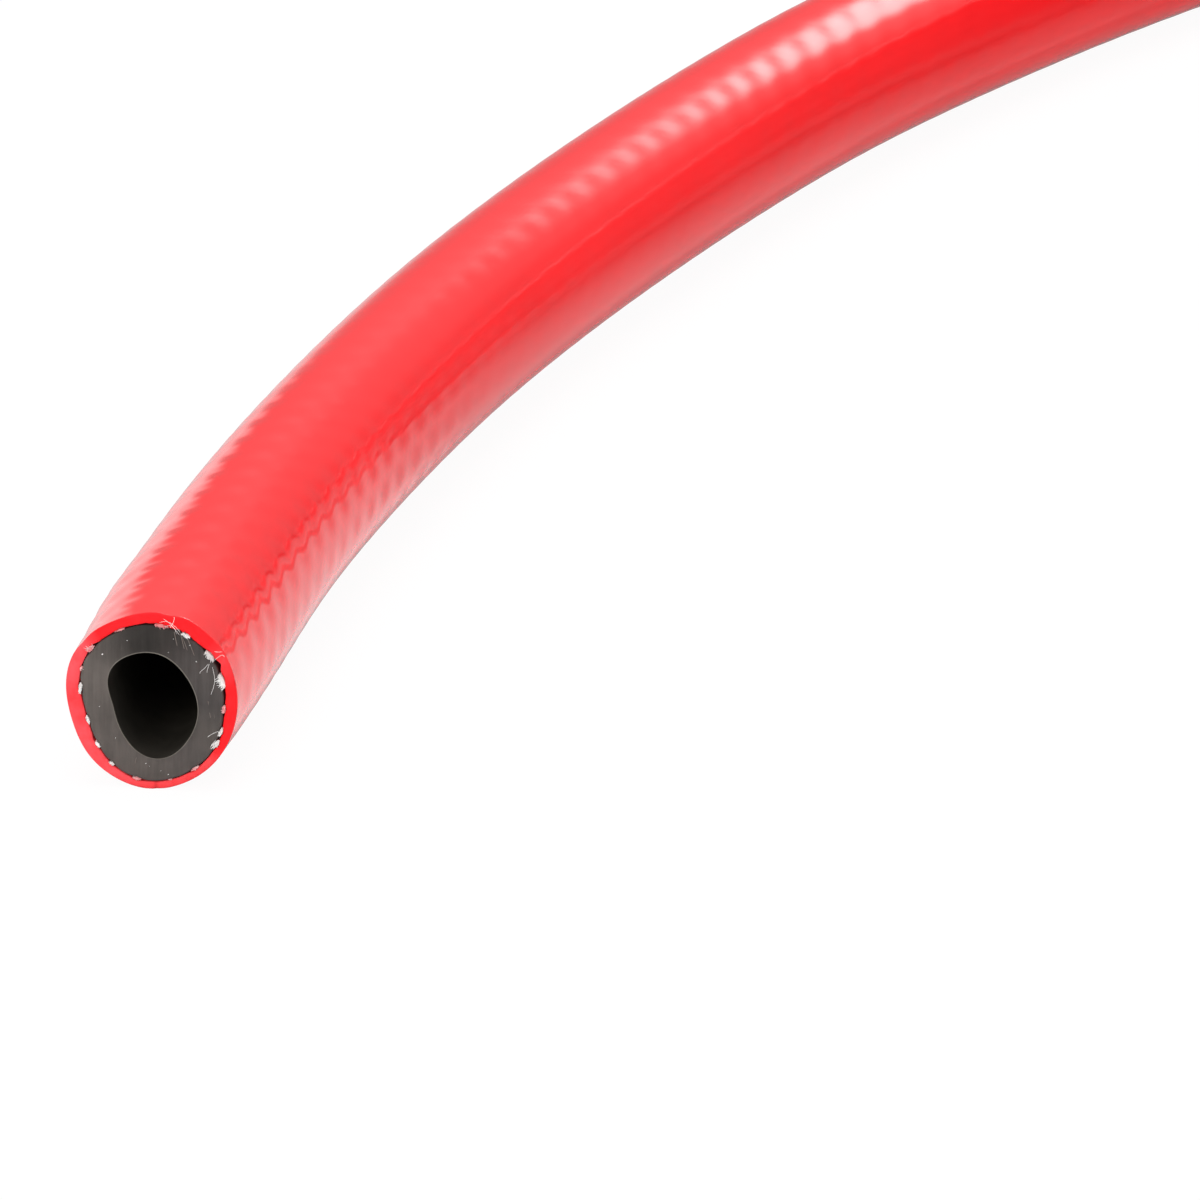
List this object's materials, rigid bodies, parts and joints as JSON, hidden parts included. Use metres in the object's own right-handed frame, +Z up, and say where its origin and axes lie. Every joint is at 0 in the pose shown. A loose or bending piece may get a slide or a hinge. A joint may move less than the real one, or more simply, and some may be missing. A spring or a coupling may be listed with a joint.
{
  "type": "coiled air hose",
  "caption": "Red rubber air hose with a cut free end that leads into a round stored coil held by cable ties; both ends are bare for hose fittings.",
  "frame": {"origin": "middle of the bounding box, on the surface that the hose lies on", "axes": "+Z is up, +Y runs from the free cut end away along the free stretch, +X from the free stretch to the coil"},
  "size_m": [0.3914, 0.3074, 0.073],
  "materials": {
    "cover": "smooth glossy red rubber with shallow ridges of the braid showing through",
    "braid": "white textile yarn",
    "inner_tube": "black rubber, matt where it is cut",
    "cable_tie": "black nylon, satin"
  },
  "bodies": {
    "root": {"cover_free_end": "cover", "braid_free_end": "braid", "inner_tube_free_end": "inner_tube", "cover_free_run": "cover", "braid_free_run": "braid", "inner_tube_free_run": "inner_tube", "cover_coil": "cover", "braid_coil": "braid", "inner_tube_coil": "inner_tube", "cover_tail": "cover", "braid_tail": "braid", "inner_tube_tail": "inner_tube", "cable_tie_left": "cable_tie", "cable_tie_back": "cable_tie", "cable_tie_front": "cable_tie"}
  },
  "joints": []
}
